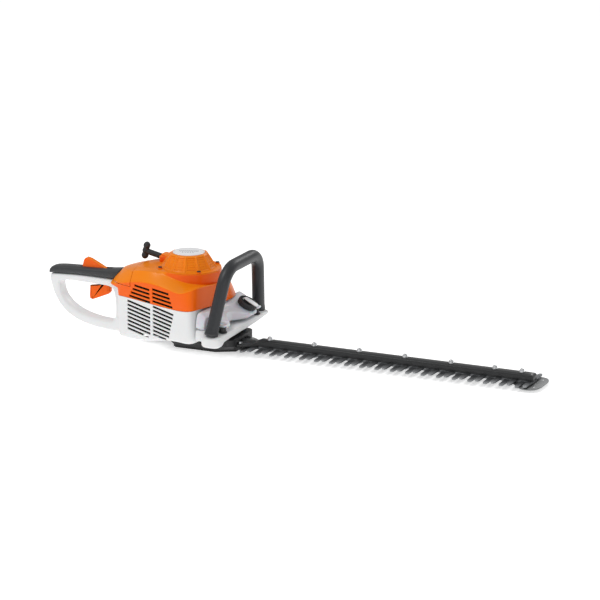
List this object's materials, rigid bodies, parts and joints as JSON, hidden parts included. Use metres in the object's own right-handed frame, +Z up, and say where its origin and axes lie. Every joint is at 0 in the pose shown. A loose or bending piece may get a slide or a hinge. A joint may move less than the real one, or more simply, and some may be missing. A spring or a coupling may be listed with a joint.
{
  "type": "petrol hedge trimmer",
  "caption": "Petrol hedge trimmer with a long double-sided reciprocating blade, black front loop handle, white rear D handle with throttle trigger and an orange engine cover.",
  "frame": {"origin": "centre of the flat underside of the gearbox, on the floor and directly under the crankshaft axis", "axes": "+X along the blade to its tip, +Y to the far side away from the louvres, +Z up"},
  "size_m": [0.998, 0.232, 0.182],
  "materials": {
    "black_cast": "satin black powder coat on die-cast alloy",
    "bar_black": "black oxide and paint, slightly worn",
    "blade_steel": "ground spring steel",
    "guard_steel": "dull stamped steel",
    "bright_zinc": "bright zinc-plated",
    "dark_zinc": "blackened",
    "machined_steel": "machined",
    "cast_alloy": "cast",
    "hot_steel": "heat-dulled sheet steel",
    "ceramic": "glazed ceramic insulator",
    "black_rubber": "soft-touch black",
    "black_plastic": "moulded black",
    "handle_tube": "black coated tube, satin",
    "orange_plastic": "bright orange moulded polyamide",
    "white_plastic": "fine-textured off-white polyamide",
    "tank_plastic": "milky translucent polyethylene",
    "cap_white": "white insert",
    "label_white": "plain white label",
    "clear_rubber": "smoky soft bulb",
    "filter_fleece": "pleated filter fleece",
    "rope_white": "braided nylon"
  },
  "bodies": {
    "machine": {"gear_housing": "black_cast", "gear_cover": "black_cast", "cover_screws": "bright_zinc", "drum_bearing": "machined_steel", "guide_bar": "bar_black", "bar_bolts": "bright_zinc", "bar_nuts": "dark_zinc", "root_screws": "bright_zinc", "tip_guard": "guard_steel", "crankcase": "cast_alloy", "crank_bearings": "machined_steel", "ignition_module": "black_plastic", "engine_cylinder": "cast_alloy", "spark_plug": "ceramic", "plug_boot": "black_rubber", "muffler": "hot_steel", "carburetor": "cast_alloy", "intake_block": "black_rubber", "air_filter": "filter_fleece", "fuel_hose": "black_rubber", "rewind_spring": "machined_steel", "fan_housing": "orange_plastic", "label_disc": "label_white", "top_cover": "orange_plastic", "filter_cover": "orange_plastic", "lower_housing": "white_plastic", "rear_handle": "white_plastic", "handle_grip": "black_rubber", "handle_pins": "bright_zinc", "throttle_cable": "black_rubber", "front_base": "white_plastic", "front_handle": "handle_tube", "handle_bolts": "bright_zinc", "av_buffers": "black_rubber", "fuel_tank": "tank_plastic", "housing_screws": "bright_zinc"},
    "gear": {"drive_gear": "machined_steel"},
    "drum": {"clutch_drum": "machined_steel"},
    "rod_low": {"lower_rod": "machined_steel"},
    "rod_up": {"upper_rod": "machined_steel"},
    "blade_low": {"lower_blade": "blade_steel"},
    "blade_up": {"upper_blade": "blade_steel"},
    "crank": {"crank_lower": "machined_steel", "crank_upper": "machined_steel", "clutch_hub": "machined_steel", "flywheel": "cast_alloy"},
    "piston_group": {"piston": "cast_alloy", "piston_pin": "bright_zinc", "connecting_rod": "machined_steel"},
    "reel": {"starter_pulley": "black_plastic", "rope_coil": "rope_white"},
    "pull_grip": {"starter_grip": "black_plastic", "starter_rope": "rope_white"},
    "trigger": {"throttle_trigger": "orange_plastic"},
    "lockout": {"lockout_lever": "orange_plastic"},
    "choke": {"choke_knob": "black_plastic"},
    "stop": {"stop_switch": "black_plastic"},
    "primer": {"primer_bulb": "clear_rubber"},
    "cap": {"fuel_cap": "black_plastic"},
    "wing": {"cap_wing": "cap_white"}
  },
  "joints": [
    {"name": "gear_spin", "type": "hinge", "parent": "machine", "child": "gear", "pos_m": [0.03, 0, 0.019], "axis": [0, 0, 1], "continuous": true},
    {"name": "drum_spin", "type": "hinge", "parent": "machine", "child": "drum", "pos_m": [0, 0, 0.025], "axis": [0, 0, 1], "continuous": true},
    {"name": "lower_rod_pivot", "type": "hinge", "parent": "gear", "child": "rod_low", "pos_m": [0.0225, 0, 0.0057], "axis": [0, 0, 1], "continuous": true},
    {"name": "upper_rod_pivot", "type": "hinge", "parent": "gear", "child": "rod_up", "pos_m": [0.0375, 0, 0.0145], "axis": [0, 0, 1], "continuous": true},
    {"name": "upper_blade_slide", "type": "slide", "parent": "machine", "child": "blade_up", "axis": [-1, 0, 0], "range_m": [0, 0.015]},
    {"name": "lower_blade_slide", "type": "slide", "parent": "machine", "child": "blade_low", "axis": [1, 0, 0], "range_m": [0, 0.015]},
    {"name": "crank_spin", "type": "hinge", "parent": "machine", "child": "crank", "pos_m": [0, 0, 0.077], "axis": [0, 0, 1], "continuous": true},
    {"name": "piston_slide", "type": "slide", "parent": "machine", "child": "piston_group", "axis": [1, 0, 0], "range_m": [0, 0.03]},
    {"name": "starter_pull", "type": "slide", "parent": "machine", "child": "pull_grip", "axis": [-0.9763, 0, 0.2164], "range_m": [0, 0.055], "stiffness_N_per_m": 60, "springref_m": -0.08},
    {"name": "reel_spin", "type": "hinge", "parent": "machine", "child": "reel", "pos_m": [0, 0, 0.142], "axis": [0, 0, 1], "range_deg": [0, 176]},
    {"name": "trigger_squeeze", "type": "hinge", "parent": "machine", "child": "trigger", "pos_m": [-0.166, 0, 0.105], "axis": [0, 1, 0], "range_deg": [0, 12], "stiffness_Nm_per_rad": 1, "springref_deg": -14.32},
    {"name": "lockout_press", "type": "hinge", "parent": "machine", "child": "lockout", "pos_m": [-0.181, 0, 0.113], "axis": [0, -1, 0], "range_deg": [0, 8], "stiffness_Nm_per_rad": 0.8, "springref_deg": -14.32},
    {"name": "choke_turn", "type": "hinge", "parent": "machine", "child": "choke", "pos_m": [-0.1, 0.0546, 0.104], "axis": [-0.2079, 0.9781, 0], "range_deg": [0, 90]},
    {"name": "switch_turn", "type": "hinge", "parent": "machine", "child": "stop", "pos_m": [-0.066, 0.0606, 0.104], "axis": [-0.2079, 0.9781, 0], "range_deg": [0, 45]},
    {"name": "primer_press", "type": "slide", "parent": "machine", "child": "primer", "axis": [0.1857, -0.9826, 0], "range_m": [0, 0.004], "stiffness_N_per_m": 800, "springref_m": -0.002},
    {"name": "cap_turn", "type": "hinge", "parent": "machine", "child": "cap", "pos_m": [0.0969, 0.045, 0.0719], "axis": [0.4695, 0, 0.8829], "range_deg": [0, 120]},
    {"name": "wing_flip", "type": "hinge", "parent": "cap", "child": "wing", "pos_m": [0.09228, 0.045, 0.08557], "axis": [0, -1, 0], "range_deg": [0, 90]}
  ],
  "couplings": [
    {"joint": "drum_spin", "follows": "gear_spin", "ratio": -4},
    {"joint": "lower_rod_pivot", "follows": "gear_spin", "ratio": -1},
    {"joint": "upper_rod_pivot", "follows": "gear_spin", "ratio": -1},
    {"joint": "lower_blade_slide", "follows": "upper_blade_slide", "ratio": 1},
    {"joint": "reel_spin", "follows": "starter_pull", "rad_per_m": 55.556}
  ]
}
